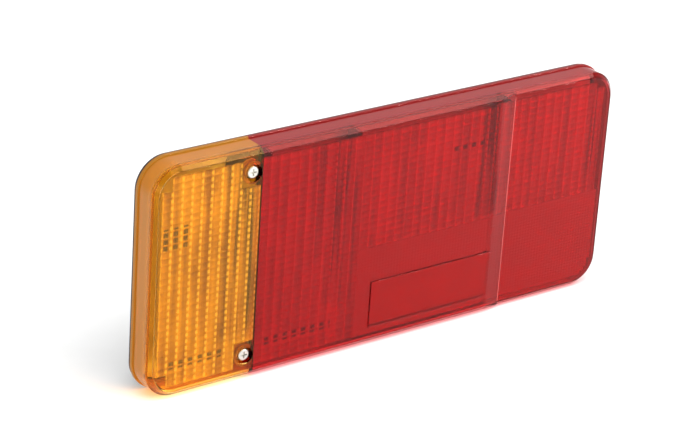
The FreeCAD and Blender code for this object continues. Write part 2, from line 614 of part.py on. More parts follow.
def contact_spring(x):
    """Coil spring between the socket's disc and the plunger."""
    low_z = SOCKET_FOOT_Z + SOCKET_DISC_THICKNESS + SPRING_WIRE_RADIUS + SPRING_END_GAP
    high_z = BULB_BASE_Z - PLUNGER_THICKNESS - SPRING_WIRE_RADIUS - SPRING_END_GAP
    length = high_z - low_z
    wire = Part.Wire(Part.makeHelix(length / SPRING_TURNS, length, SPRING_RADIUS))
    profile = Part.Wire(Part.makeCircle(SPRING_WIRE_RADIUS, Vector(SPRING_RADIUS, 0, 0), Vector(0, 1, 0)))
    coil = wire.makePipeShell([profile], True, True)
    coil.translate(Vector(x, BULB_Y, low_z))
    return coil


# ---- reflectors ----
def chamber_limits(index, outer_half_width):
    """Left and right X of one chamber between its walls, where the end chambers reach the given X."""
    half_wall = PARTITION_THICKNESS / 2 + REFLECTOR_SIDE_GAP
    lefts = [-outer_half_width] + [x + half_wall for x in PARTITION_XS]
    rights = [x - half_wall for x in PARTITION_XS] + [outer_half_width]
    return lefts[index], rights[index]


def rounded_ring(left, right, half_height, radius, y):
    """Closed wire in one Y plane: a rectangle with round corners."""
    edges = []
    corners = ((right - radius, half_height - radius), (left + radius, half_height - radius),
               (left + radius, radius - half_height), (right - radius, radius - half_height))
    for quarter, (x, z) in enumerate(corners):
        start, middle, end = [math.radians(90 * quarter + turn) for turn in (0, 45, 90)]
        arc = [Vector(x + radius * math.cos(a), y, z + radius * math.sin(a)) for a in (start, middle, end)]
        if edges:
            edges.append(Part.LineSegment(edges[-1].EndPoint, arc[0]))
        edges.append(Part.Arc(*arc))
    edges.append(Part.LineSegment(edges[-1].EndPoint, edges[0].StartPoint))
    return Part.Wire([edge.toShape() for edge in edges])


def bowl(left, right, shrink, back_y):
    """Tapered rectangular block from the flange plane back to the reflector's floor."""
    front_half = POD_INNER_HALF_HEIGHT - REFLECTOR_SIDE_GAP - shrink
    back_half = front_half - REFLECTOR_SLOPE_Z
    front_y = RIM_PLANE - REFLECTOR_SHEET
    front_radius = REFLECTOR_CORNER_RADIUS - shrink
    back_radius = REFLECTOR_BACK_RADIUS - shrink
    front = rounded_ring(left + shrink, right - shrink, front_half, front_radius, front_y)
    back = rounded_ring(left + shrink + REFLECTOR_SLOPE_X, right - shrink - REFLECTOR_SLOPE_X,
                        back_half, back_radius, back_y)
    return Part.makeLoft([front, back], True, True)


def reflector(index):
    """Silvered bowl round one bulb, with a brim on the flange and a notch for the socket."""
    left, right = chamber_limits(index, POD_INNER_HALF_WIDTH - REFLECTOR_SIDE_GAP)
    brim_left, brim_right = chamber_limits(index, HALF_WIDTH - REFLECTOR_BRIM_INSET)
    front_y = RIM_PLANE - REFLECTOR_SHEET
    brim = inset_slab(REFLECTOR_BRIM_GAP, front_y, RIM_PLANE)
    brim = brim.common(block((brim_left, front_y, -HALF_HEIGHT), (brim_right, RIM_PLANE, HALF_HEIGHT)))
    outer = bowl(left, right, 0, REFLECTOR_BACK_Y)
    inner = bowl(left, right, REFLECTOR_SHEET, REFLECTOR_BACK_Y - REFLECTOR_SHEET)
    sheet = brim.fuse(outer).cut(inner)
    x = BULB_XS[index]
    sheet = sheet.cut(block((x - REFLECTOR_NOTCH_HALF_WIDTH, front_y, -POD_INNER_HALF_HEIGHT),
                            (x + REFLECTOR_NOTCH_HALF_WIDTH, 0, REFLECTOR_NOTCH_TOP_Z)))
    for z in (-SCREW_Z, SCREW_Z):
        radius = TOWER_RADIUS + REFLECTOR_TOWER_CLEARANCE
        sheet = sheet.cut(rod(radius, (SCREW_X, front_y, z), (SCREW_X, REFLECTOR_BACK_Y, z)))
    if index == TERMINAL_CHAMBER:
        block_left = FIRST_POLE_X - BLOCK_MARGIN - REFLECTOR_SIDE_GAP
        sheet = sheet.cut(block((block_left, RIM_PLANE, -POD_INNER_HALF_HEIGHT),
                                (right + 1, 0, POLE_ROW_Z + BLOCK_HEIGHT / 2 + REFLECTOR_SIDE_GAP)))
    return sheet


# ---- wiring ----
def pole_x(pole):
    """X of one terminal, counted from the left."""
    return FIRST_POLE_X + pole * POLE_PITCH


def lane(x_from, x_to, z, width):
    """Flat run of strip along X on the housing floor."""
    return block((min(x_from, x_to), STRIP_TOP_Y, z - width / 2), (max(x_from, x_to), FLOOR_Y, z + width / 2))


def terminal_tab(pole, lane_z):
    """Run of strip along Z from a lane to the pad under one terminal."""
    x = pole_x(pole)
    half = STRIP_WIDTH / 2
    tab = block((x - half, STRIP_TOP_Y, min(lane_z, POLE_ROW_Z) - half),
                (x + half, FLOOR_Y, max(lane_z, POLE_ROW_Z) + half))
    half_pad = TERMINAL_PAD_WIDTH / 2
    pad = block((x - half_pad, STRIP_TOP_Y, POLE_ROW_Z - half_pad),
                (x + half_pad, FLOOR_Y, POLE_ROW_Z + half_pad))
    return tab.fuse(pad)


def feed_strip(bulb_x, lane_z, pole):
    """Strip from a socket's foot to its terminal, with a riser against the socket's disc."""
    riser_low = SOCKET_FOOT_Z - STRIP_THICKNESS
    half = FEED_RISER_WIDTH / 2
    riser = block((bulb_x - half, FEED_RISER_TOP_Y, riser_low), (bulb_x + half, FLOOR_Y, SOCKET_FOOT_Z))
    foot = block((bulb_x - half, STRIP_TOP_Y, min(riser_low, lane_z - STRIP_WIDTH / 2)),
                 (bulb_x + half, FLOOR_Y, max(SOCKET_FOOT_Z, lane_z + STRIP_WIDTH / 2)))
    run = lane(bulb_x, pole_x(pole), lane_z, STRIP_WIDTH)
    return riser.fuse([foot, run, terminal_tab(pole, lane_z)])


def earth_strip():
    """Common return strip under all four socket legs."""
    run = lane(BULB_XS[0] - EARTH_STRIP_WIDTH, BULB_XS[-1] + EARTH_STRIP_WIDTH, EARTH_LANE_Z,
               EARTH_STRIP_WIDTH)
    return run.fuse(terminal_tab(EARTH_POLE, EARTH_LANE_Z))


def terminal_xs():
    """X of every terminal."""
    return [pole_x(pole) for pole in range(TERMINAL_COUNT)]


def terminal_block():
    """Insulating block with a wire hole and a screw hole per terminal."""
    xs = terminal_xs()
    top_y = STRIP_TOP_Y - BLOCK_DEPTH
    half = BLOCK_HEIGHT / 2
    body = block((xs[0] - BLOCK_MARGIN, top_y, POLE_ROW_Z - half),
                 (xs[-1] + BLOCK_MARGIN, STRIP_TOP_Y, POLE_ROW_Z + half))
    for x in xs:
        wire_y = STRIP_TOP_Y - WIRE_HOLE_RADIUS - REFLECTOR_SHEET
        body = body.cut(rod(WIRE_HOLE_RADIUS, (x, wire_y, POLE_ROW_Z - half), (x, wire_y, POLE_ROW_Z)))
        body = body.cut(rod(TERMINAL_SCREW_RADIUS + TERMINAL_CLEARANCE, (x, top_y, POLE_ROW_Z),
                            (x, STRIP_TOP_Y, POLE_ROW_Z)))
        body = body.cut(rod(TERMINAL_HEAD_RADIUS + TERMINAL_CLEARANCE, (x, top_y, POLE_ROW_Z),
                            (x, top_y + TERMINAL_HEAD_HEIGHT, POLE_ROW_Z)))
    return body


def terminal_screw(x):
    """Slotted clamp screw, flush with the block."""
    top_y = STRIP_TOP_Y - BLOCK_DEPTH
    head = rod(TERMINAL_HEAD_RADIUS, (x, top_y, POLE_ROW_Z), (x, top_y + TERMINAL_HEAD_HEIGHT, POLE_ROW_Z))
    shank = rod(TERMINAL_SCREW_RADIUS, (x, top_y, POLE_ROW_Z), (x, STRIP_TOP_Y, POLE_ROW_Z))
    half = TERMINAL_SLOT_WIDTH / 2
    slot = block((x - TERMINAL_HEAD_RADIUS, top_y, POLE_ROW_Z - half),
                 (x + TERMINAL_HEAD_RADIUS, top_y + TERMINAL_HEAD_HEIGHT / 2, POLE_ROW_Z + half))
    return head.fuse(shank).cut(slot)


# ---- assembly ----
def build():
    """All nodes of the lamp by name."""
    amber, red = lens_parts()
    nodes = {
        "base_housing": base_housing(),
        "chamber_walls": Part.makeCompound([chamber_wall(x) for x in PARTITION_XS]),
        "amber_lens": amber,
        "red_lens": red,
        "reflex_insert": reflex_insert(),
        "lens_seal": lens_seal(),
        "lens_screw_upper": lens_screw(SCREW_Z),
        "lens_screw_lower": lens_screw(-SCREW_Z),
        "screw_washer_upper": screw_washer(SCREW_Z),
        "screw_washer_lower": screw_washer(-SCREW_Z),
        "screw_inserts": Part.makeCompound([screw_insert(z) for z in (-SCREW_Z, SCREW_Z)]),
        "mounting_studs": Part.makeCompound([mounting_stud(x) for x in stud_xs()]),
        "cable_grommet": cable_grommet(),
        "terminal_block": terminal_block(),
        "terminal_screws": Part.makeCompound([terminal_screw(x) for x in terminal_xs()]),
        "earth_strip": earth_strip(),
    }
    for index, name in enumerate(CHAMBERS):
        x = BULB_XS[index]
        nodes[name + "_bulb_glass"] = bulb_glass(x)
        nodes[name + "_bulb_cap"] = bulb_cap(x)
        nodes[name + "_bulb_filament"] = bulb_filament(x)
        nodes[name + "_socket"] = bayonet_socket(x)
        nodes[name + "_contact_plunger"] = contact_plunger(x)
        nodes[name + "_contact_spring"] = contact_spring(x)
        nodes[name + "_reflector"] = reflector(index)
        nodes[name + "_feed_strip"] = feed_strip(x, FEED_LANES[index], FEED_POLES[index])
    return nodes


os.makedirs("parts", exist_ok=True)
for node_name, node_shape in build().items():
    node_shape.exportStep("parts/" + node_name + ".step")
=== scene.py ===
"""Finish, optics and fine detail of the trailer tail light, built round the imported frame."""

import math

import bmesh
import bpy
from mathutils import Matrix, Vector


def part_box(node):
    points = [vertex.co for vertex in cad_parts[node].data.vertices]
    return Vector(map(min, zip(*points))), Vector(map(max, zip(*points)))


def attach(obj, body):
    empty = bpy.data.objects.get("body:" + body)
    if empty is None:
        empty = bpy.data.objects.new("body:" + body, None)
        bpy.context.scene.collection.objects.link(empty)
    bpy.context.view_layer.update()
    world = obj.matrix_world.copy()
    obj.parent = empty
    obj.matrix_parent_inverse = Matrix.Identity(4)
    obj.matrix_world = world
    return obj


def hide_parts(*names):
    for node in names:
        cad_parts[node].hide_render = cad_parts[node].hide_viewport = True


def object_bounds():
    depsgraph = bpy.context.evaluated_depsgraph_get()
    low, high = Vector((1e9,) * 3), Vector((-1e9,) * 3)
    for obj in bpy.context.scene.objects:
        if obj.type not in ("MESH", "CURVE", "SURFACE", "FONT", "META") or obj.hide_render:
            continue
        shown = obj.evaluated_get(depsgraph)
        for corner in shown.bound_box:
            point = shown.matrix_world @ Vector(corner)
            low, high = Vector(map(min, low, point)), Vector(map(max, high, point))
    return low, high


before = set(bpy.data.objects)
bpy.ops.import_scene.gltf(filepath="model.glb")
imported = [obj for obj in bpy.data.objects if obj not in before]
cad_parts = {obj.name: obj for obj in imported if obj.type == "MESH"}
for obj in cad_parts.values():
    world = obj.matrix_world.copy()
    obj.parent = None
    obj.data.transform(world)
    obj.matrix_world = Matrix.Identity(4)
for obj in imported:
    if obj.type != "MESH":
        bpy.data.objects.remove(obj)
CAD_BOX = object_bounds()

bl_info = {
    "name": "Trailer tail light",
    "version": (1, 0, 0),
    "blender": (4, 5, 0),
    "location": "View3D > Sidebar > Tail Light",
    "description": "Builds the optics, finishes and stage of a trailer tail light",
    "category": "Object",
}

MM = 0.001
WAVE_SIZE = 9.0 * MM
WAVE_DEPTH = 0.008 * MM
CLOUD_SIZE = 30.0 * MM
REFLEX_BOND = 0.06 * MM
FRONT_FACE = -42.8 * MM
STEP = 2.0 * MM
WALL_START = -38.0 * MM
TAIL_END = -24.5 * MM
RAMP_START = 77.8 * MM
SEAM = 91.5 * MM
LATTICE_X = -99.5 * MM
LATTICE_SLACK = 0.05
STREAK_WIDTH = 6.0 * MM
STREAK_HEIGHT = 130.0 * MM
WALL_REACH = 36.0 * MM
# X of a dark wall and the Z it starts to show from; painted dark streaks stand for the wall seen through the
# optics
AMBER_WALLS = ((-95.0 * MM, -45.0 * MM),)
RED_WALLS = ((-24.5 * MM, -40.0 * MM), (90.0 * MM, -4.0 * MM), (178.0 * MM, 4.0 * MM))
# low X, high X, low Z, high Z of a row of painted shade squares: the shaded foot of a fitting seen through
# the optics
AMBER_SHADE_SQUARES = ((-160.0 * MM, -122.0 * MM, -56.5 * MM, -51.5 * MM),
                 (-168.0 * MM, -146.0 * MM, 20.5 * MM, 35.5 * MM))
RED_SHADE_SQUARES = ((-92.0 * MM, -42.0 * MM, -56.5 * MM, -51.5 * MM),
               (44.0 * MM, 78.0 * MM, 42.0 * MM, 47.0 * MM))
CHAMBERS = ("indicator", "tail", "stop", "fog")


# ---- settings ----
class TailLightLensSettings(bpy.types.PropertyGroup):
    """Colours and optics of the lens."""

    # amber and amber shade are a lit and a shaded amber, painted in streaks over the pillows as painted light
    # and shade
    amber: bpy.props.StringProperty(name="Amber", description="Brightest amber of a pillow",
                                    default="#CCA216")
    amber_shade: bpy.props.StringProperty(name="Amber shade", description="Deeper amber of a pillow",
                                          default="#8C5E1C")
    # painted shade: colour for a dark wall or a shaded fitting seen through the amber pillows
    amber_shadow: bpy.props.StringProperty(name="Amber shadow",
                                           description="Amber over a dark wall or fitting", default="#3A2A0C")
    # painted highlight: colour of the lit line between two amber columns
    amber_highlight: bpy.props.StringProperty(name="Amber edge",
                                         description="Lit line between two amber columns", default="#F0DC90")
    # red and red shade are a lit and a shaded red, painted in streaks over the pillows as painted light and
    # shade
    red: bpy.props.StringProperty(name="Red", description="Brightest red of a pillow", default="#B8262C")
    red_shade: bpy.props.StringProperty(name="Red shade", description="Deeper red of a pillow",
                                        default="#96403C")
    # painted shade: colour for a dark wall or a shaded fitting seen through the red pillows
    red_shadow: bpy.props.StringProperty(name="Red shadow", description="Red over a dark wall or fitting",
                                         default="#3E3026")
    # painted highlight: colour of the lit line between two red columns
    red_highlight: bpy.props.StringProperty(name="Red edge", description="Lit line between two red columns",
                                       default="#C8504C")
    red_plain: bpy.props.StringProperty(name="Plain red", description="Red of the smooth lower zones",
                                        default="#A0161E")
    column_pitch: bpy.props.FloatProperty(name="Column pitch", description="Width of one pillow optic",
                                          default=75.0 / 11 * MM, unit="LENGTH")
    row_pitch: bpy.props.FloatProperty(name="Row pitch", description="Height of one pillow optic",
                                       default=4.2 * MM, unit="LENGTH")
    column_rise: bpy.props.FloatProperty(name="Column rise",
                                         description="Bulge of a pillow across its width",
                                         default=0.75 * MM, unit="LENGTH")
    row_rise: bpy.props.FloatProperty(name="Row rise", description="Bulge of a pillow over its height",
                                      default=0.30 * MM, unit="LENGTH")
    flute_pitch: bpy.props.FloatProperty(name="Flute pitch",
                                         description="Width of one fine flute in the plain zones",
                                         default=75.0 / 33 * MM, unit="LENGTH")
    flute_rise: bpy.props.FloatProperty(name="Flute rise", description="Bulge of one fine flute",
                                        default=0.06 * MM, unit="LENGTH")
    wall: bpy.props.FloatProperty(name="Wall", description="Thickness of the lens moulding",
                                  default=2.4 * MM, unit="LENGTH")
    plain_zone_top: bpy.props.FloatProperty(name="Plain zone top",
                                            description="Height where the pillow optics of the red part end",
                                            default=-8.4 * MM, unit="LENGTH")


class TailLightStageSettings(bpy.types.PropertyGroup):
    """Camera and studio light."""

    floor: bpy.props.StringProperty(name="Floor", description="Colour of the studio floor",
                                    default="#F6F6F5")
    camera_place: bpy.props.FloatVectorProperty(name="Camera place", description="Where the camera stands",
                                                default=(-0.968905, -1.244255, 0.694697),
                                                subtype="TRANSLATION")
    camera_view: bpy.props.FloatVectorProperty(name="Camera view",
                                               description="Direction the camera looks along",
                                               default=(0.560546, 0.720720, -0.407862), subtype="DIRECTION")
    camera_roll: bpy.props.FloatProperty(name="Camera roll",
                                         description="Tilt of the camera about its view",
                                         default=math.radians(3.932), subtype="ANGLE")
    focal_length: bpy.props.FloatProperty(name="Focal length",
                                          description="Lens length on a 36 mm sensor, in millimetres",
                                          default=143.33)
    sky: bpy.props.FloatProperty(name="Sky", description="Strength of the white studio surround",
                                 default=0.75)


# ---- small helpers ----
def linear(hex_colour):
    """sRGB hex to the linear values that shaders take."""
    def channel(text):
        value = int(text, 16) / 255
        return value / 12.92 if value <= 0.04045 else ((value + 0.055) / 1.055) ** 2.4
    code = hex_colour.lstrip("#")
    return tuple(channel(code[i:i + 2]) for i in (0, 2, 4)) + (1.0,)


def add(material, kind, settings=None, **links):
    """Adds a node, sets its inputs and properties, and links its inputs from sockets."""
    node = material.node_tree.nodes.new(kind)
    for name, value in (settings or {}).items():
        if name in node.inputs:
            node.inputs[name].default_value = value
        else:
            setattr(node, name, value)
    for name, socket in links.items():
        material.node_tree.links.new(socket, node.inputs[name.replace("_", " ")])
    return node


def material(name):
    """Empty node material and its output node."""
    made = bpy.data.materials.new(name)
    made.use_nodes = True
    made.node_tree.nodes.clear()
    return made, add(made, "ShaderNodeOutputMaterial")


def join(made, source, target, socket="Surface"):
    """Links one socket to a named input."""
    made.node_tree.links.new(source, target.inputs[socket])


def part(name, bm, made, body, smooth=True, replaces=None):
    """Turns a bmesh into a named piece that rides on a body."""
    bmesh.ops.recalc_face_normals(bm, faces=bm.faces)
    mesh = bpy.data.meshes.new(name)
    bm.to_mesh(mesh)
    bm.free()
    for polygon in mesh.polygons:
        polygon.use_smooth = smooth
    mesh.materials.append(made)
    obj = bpy.data.objects.new(name, mesh)
    bpy.context.scene.collection.objects.link(obj)
    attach(obj, body)
    if replaces:
        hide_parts(replaces)
    return obj


def dress(node, made):
    """Gives a frame node its finish."""
    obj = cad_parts[node]
    for slot in obj.material_slots:
        slot.material = made


# ---- materials ----
def tinted_pmma(name, tint, haze, gloss=(1.0, 1.0, 1.0, 1.0), painted_rim_colour=None):
    """Injection-moulded acrylic: glossy and coloured through.

    Lamps reach what is behind it. Shallow moulding waves keep its reflections from being dead straight.
    With a painted rim colour, the side walls and rim are painted a fuller, darker colour than the face,
    standing in for the light path through coloured acrylic edge-on.
    """
    made, output = material(name)
    place = add(made, "ShaderNodeTexCoord")
    waves = add(made, "ShaderNodeTexNoise", {"Scale": 1 / WAVE_SIZE, "Detail": 2.0},
                Vector=place.outputs["Object"])
    bump = add(made, "ShaderNodeBump", {"Strength": 0.5, "Distance": WAVE_DEPTH},
               Height=waves.outputs["Fac"])
    rough = add(made, "ShaderNodeMapRange", {"To Min": haze * 0.7, "To Max": haze * 1.3},
                Value=waves.outputs["Fac"])
    glass = add(made, "ShaderNodeBsdfPrincipled", {"Base Color": tint, "Transmission Weight": 1.0,
                                                   "IOR": 1.49,
                                                   "Specular Tint": gloss})
    join(made, rough.outputs["Result"], glass, "Roughness")
    join(made, bump.outputs["Normal"], glass, "Normal")
    if painted_rim_colour:
        axes = add(made, "ShaderNodeSeparateXYZ", Vector=place.outputs["Object"])
        # painted shade: behind the face, the walls and rim take the darker rim colour and half the
        # transmission
        deep = ramp(made, axes.outputs["Y"], WALL_START, WALL_START + 2 * MM)
        join(made, ramp(made, deep, 0.0, 1.0, 1.0, 0.5), glass, "Transmission Weight")
        join(made, blend(made, deep, tint, painted_rim_colour), glass, "Base Color")
    lit_through(made, output, glass, tint)
    return made


def lit_through(made, output, shader, tint):
    """Lets lamp light straight through a tinted surface, and shows the shader to everything else."""
    clear = add(made, "ShaderNodeBsdfTransparent", {"Color": [math.sqrt(c) for c in tint]})
    path = add(made, "ShaderNodeLightPath")
    mix = add(made, "ShaderNodeMixShader")
    join(made, path.outputs["Is Shadow Ray"], mix, "Fac")
    made.node_tree.links.new(shader.outputs["BSDF"], mix.inputs[1])
    made.node_tree.links.new(clear.outputs["BSDF"], mix.inputs[2])
    join(made, mix.outputs["Shader"], output)


def math_node(made, operation, first, second):
    """One arithmetic node; each side is a socket or a number."""
    node = add(made, "ShaderNodeMath", {"operation": operation})
    for index, side in enumerate((first, second)):
        if isinstance(side, (int, float)):
            node.inputs[index].default_value = side
        else:
            made.node_tree.links.new(side, node.inputs[index])
    return node.outputs[0]


def ramp(made, value, low, high, out_low=0.0, out_high=1.0):
    """Maps a value from one span to another, held at both ends."""
    span = {"From Min": low, "From Max": high, "To Min": out_low, "To Max": out_high}
    return add(made, "ShaderNodeMapRange", span, Value=value).outputs["Result"]


def inside(made, value, low, high, soft):
    """One between two limits and nought outside, over a soft edge."""
    rise = ramp(made, value, low - soft, low + soft)
    fall = ramp(made, value, high - soft, high + soft, 1.0, 0.0)
    return math_node(made, "MULTIPLY", rise, fall)


def blend(made, factor, first, second):
    """Mixes two colours by a factor; each colour is a socket or a value."""
    mix = add(made, "ShaderNodeMix", {"data_type": "RGBA"})
    for index, side in ((6, first), (7, second)):
        if isinstance(side, tuple):
            mix.inputs[index].default_value = side
        else:
            made.node_tree.links.new(side, mix.inputs[index])
    join(made, factor, mix, "Factor")
    return mix.outputs[2]


def pillow_wave(made, place, origin, pitch):
    """Cosine wave along one axis: one at a pillow's centre and minus one at its edges."""
    offset = math_node(made, "SUBTRACT", place, origin + pitch / 2)
    return math_node(made, "COSINE", math_node(made, "MULTIPLY", offset, 2 * math.pi / pitch), 0.0)


def optic_back(name, colours, pitches, walls, shade_squares, body, haze):
    """Moulded pillow optics seen through the lens.

    Each column shows a painted, stretched image of what stands behind it: streaks of painted light and shade,
    painted dark streaks next to a chamber's wall, and a row of painted shade squares where a fitting stands.
    The edges between columns carry painted highlights as beaded lines.
    """
    made, output = material(name)
    place = add(made, "ShaderNodeTexCoord")
    axes = add(made, "ShaderNodeSeparateXYZ", Vector=place.outputs["Object"])
    across, up = [pillow_wave(made, axes.outputs[axis], origin, pitch)
                  for axis, origin, pitch in (("X", LATTICE_X, pitches[0]), ("Z", 0.0, pitches[1]))]
    edge, bright, dark, shadow = [linear(code) for code in colours]
    # painted light and shade: stretched noise streaks and clouds mix the lit and the shaded colour
    stretched = add(made, "ShaderNodeMapping", {"Scale": (1 / STREAK_WIDTH, 1.0, 1 / STREAK_HEIGHT)},
                    Vector=place.outputs["Object"])
    streaks = add(made, "ShaderNodeTexNoise", {"Scale": 1.0, "Detail": 2.0},
                  Vector=stretched.outputs["Vector"])
    cloud = add(made, "ShaderNodeTexNoise", {"Scale": 1 / CLOUD_SIZE, "Detail": 2.0},
                Vector=place.outputs["Object"])
    tone = math_node(made, "ADD", math_node(made, "MULTIPLY", streaks.outputs["Fac"], 0.6),
                     math_node(made, "MULTIPLY", cloud.outputs["Fac"], 0.4))
    shade = blend(made, ramp(made, tone, 0.42, 0.60), bright, dark)
    # painted dark streaks: near each wall the pillows take the shadow colour in columns, standing in for the
    # dark wall seen through them
    for wall, low_z in walls:
        near = math_node(made, "MULTIPLY", ramp(made, axes.outputs["X"], wall - WALL_REACH,
                                                wall - 0.4 * WALL_REACH),
                         ramp(made, axes.outputs["X"], wall - 6 * MM, wall - 2 * MM, 1.0, 0.0))
        above = ramp(made, axes.outputs["Z"], low_z - 6 * MM, low_z + 6 * MM)
        veil = math_node(made, "MULTIPLY", near, above)
        column = math_node(made, "MULTIPLY", veil, ramp(made, streaks.outputs["Fac"], 0.44, 0.60, 0.1,
                                                        0.95))
        shade = blend(made, column, shade, shadow)
    # painted shade: a row of dark squares, one per pillow, for the shaded foot of a fitting
    for low_x, high_x, low_z, high_z in shade_squares:
        zone = math_node(made, "MULTIPLY", inside(made, axes.outputs["X"], low_x, high_x, 0.2 * MM),
                         inside(made, axes.outputs["Z"], low_z, high_z, 0.4 * MM))
        square = math_node(made, "MULTIPLY", ramp(made, across, -0.1, 0.3), ramp(made, up, -0.9, -0.4))
        shade = blend(made, math_node(made, "MULTIPLY", math_node(made, "MULTIPLY", zone, square), 0.9),
                      shade, shadow)
    # painted highlight: beaded lines between the columns take the edge colour
    bead_highlights = math_node(made, "MULTIPLY", ramp(made, across, -0.85, -0.55, 1.0, 0.0),
                      ramp(made, up, -0.6, 0.4, 0.25, 1.0))
    shade = blend(made, bead_highlights, shade, edge)
    glass = add(made, "ShaderNodeBsdfPrincipled", {"Transmission Weight": 1.0 - body, "IOR": 1.49,
                                                   "Roughness": haze})
    join(made, shade, glass, "Base Color")
    lit_through(made, output, glass, bright)
    return made


def metal(name, colour, roughness, brush_pitch=0.4 * MM, spread=0.12):
    """Plated or drawn metal: bright, with fine marks that break up the gloss."""
    made, output = material(name)
    place = add(made, "ShaderNodeTexCoord")
    marks = add(made, "ShaderNodeTexNoise", {"Scale": 1 / brush_pitch, "Detail": 4.0},
                Vector=place.outputs["Object"])
    spread_map = add(made, "ShaderNodeMapRange", {"To Min": roughness - spread / 2,
                                                  "To Max": roughness + spread}, Value=marks.outputs["Fac"])
    shade = add(made, "ShaderNodeMix", {"data_type": "RGBA"})
    shade.inputs[6].default_value = [c * 0.82 for c in colour[:3]] + [1]
    shade.inputs[7].default_value = colour
    join(made, marks.outputs["Fac"], shade, "Factor")
    steel = add(made, "ShaderNodeBsdfPrincipled", {"Metallic": 1.0})
    join(made, shade.outputs[2], steel, "Base Color")
    join(made, spread_map.outputs["Result"], steel, "Roughness")
    join(made, steel.outputs["BSDF"], output)
    return made


def moulded(name, colour, second, roughness, grain=0.6 * MM, depth=0.03 * MM, specular=0.5):
    """Moulded plastic or rubber with a fine spark-eroded grain."""
    made, output = material(name)
    place = add(made, "ShaderNodeTexCoord")
    cloud = add(made, "ShaderNodeTexNoise", {"Scale": 1 / (18 * MM), "Detail": 3.0},
                Vector=place.outputs["Object"])
    texture = add(made, "ShaderNodeTexNoise", {"Scale": 1 / grain, "Detail": 2.0},
                  Vector=place.outputs["Object"])
    shade = add(made, "ShaderNodeMix", {"data_type": "RGBA"})
    shade.inputs[6].default_value = colour
    shade.inputs[7].default_value = second
    join(made, cloud.outputs["Fac"], shade, "Factor")
    rough = add(made, "ShaderNodeMapRange", {"To Min": roughness - 0.08, "To Max": roughness + 0.1},
                Value=texture.outputs["Fac"])
    bump = add(made, "ShaderNodeBump", {"Strength": 0.6, "Distance": depth}, Height=texture.outputs["Fac"])
    body = add(made, "ShaderNodeBsdfPrincipled", {"IOR": 1.5, "Specular IOR Level": specular})
    join(made, shade.outputs[2], body, "Base Color")
    join(made, rough.outputs["Result"], body, "Roughness")
    join(made, bump.outputs["Normal"], body, "Normal")
    join(made, body.outputs["BSDF"], output)
    return made


MADE = {}


class TAILLIGHT_OT_finishes(bpy.types.Operator):
    """Makes every finish of the lamp"""

    bl_idname = "taillight.finishes"
    bl_label = "Finishes"

    def execute(self, context):
        lens = context.scene.tail_light_lens
        amber_gloss, red_gloss = linear("#D8A868"), linear("#B8807A")
        # the last colour of each lens is its painted rim colour
        MADE["amber"] = tinted_pmma("Amber acrylic, moulded", linear("#F4D070"), 0.03, amber_gloss,
                                    linear("#CC8A30"))
        MADE["red"] = tinted_pmma("Red acrylic, moulded", linear("#DA3C42"), 0.03, red_gloss,
                                  linear("#A82C2C"))
        MADE["clear"] = tinted_pmma("Acrylic optics, moulded", linear("#FFFFFF"), 0.02)
        pitches = (lens.column_pitch, lens.row_pitch)
        flutes = (lens.flute_pitch, lens.row_pitch / 2)
        amber = (lens.amber_highlight, lens.amber, lens.amber_shade, lens.amber_shadow)
        red = (lens.red_highlight, lens.red, lens.red_shade, lens.red_shadow)
        plain = (lens.red_plain,) * 4
        MADE["amber_optics"] = optic_back("Amber pillow optics, moulded", amber, pitches, AMBER_WALLS,
                                          AMBER_SHADE_SQUARES, 0.66, 0.15)
        MADE["red_optics"] = optic_back("Red pillow optics, moulded", red, pitches, RED_WALLS, RED_SHADE_SQUARES,
                                        0.62, 0.15)
        MADE["red_flutes"] = optic_back("Red fluted optics, moulded", plain, flutes, (), (), 0.75, 0.3)
        MADE["glass"] = tinted_pmma("Soda-lime bulb glass, blown", linear("#FAFCFC"), 0.02)
        MADE["silver"] = metal("Aluminised reflector, vacuum coated", linear("#F4F4F2"), 0.30, 2.0 * MM)
        MADE["zinc"] = metal("Zinc-plated steel, bright", linear("#D9D7D0"), 0.24)
        MADE["steel"] = metal("Tinned steel socket, pressed", linear("#C9C8C2"), 0.32)
        MADE["brass"] = metal("Brass strip, rolled", linear("#D9B873"), 0.30)
        MADE["tungsten"] = metal("Tungsten wire, drawn", linear("#77777A"), 0.35)
        MADE["black"] = moulded("Black polypropylene, spark-eroded", linear("#141416"), linear("#1C1C1F"),
                                0.45)
        MADE["rubber"] = moulded("Black rubber, moulded", linear("#101011"), linear("#191919"), 0.7,
                                 0.9 * MM, 0.05 * MM, 0.35)
        MADE["white"] = moulded("White polyamide, moulded", linear("#DEDBD2"), linear("#E8E5DC"), 0.5)
        MADE["reflex"] = moulded("Red reflex prisms, moulded", linear("#A01A1F"), linear("#8C161A"), 0.35)
        # painted highlight: lighter red for the bright line at the lens step
        MADE["weld"] = moulded("Acrylic weld line, rough", linear("#B84A46"), linear("#C45854"), 0.4)
        return {"FINISHED"}


class TAILLIGHT_OT_lens(bpy.types.Operator):
    """Dresses the two lens mouldings"""

    bl_idname = "taillight.lens"
    bl_label = "Lens"

    def execute(self, context):
        dress("amber_lens", MADE["amber"])
        dress("red_lens", MADE["red"])
        return {"FINISHED"}


def box_mesh(bm, low, high):
    """Adds a box between two corners."""
    centre = [(a + b) / 2 for a, b in zip(low, high)]
    size = [b - a for a, b in zip(low, high)]
    bmesh.ops.create_cube(bm, size=1.0, matrix=Matrix.Translation(centre) @ Matrix.Diagonal((*size, 1.0)))


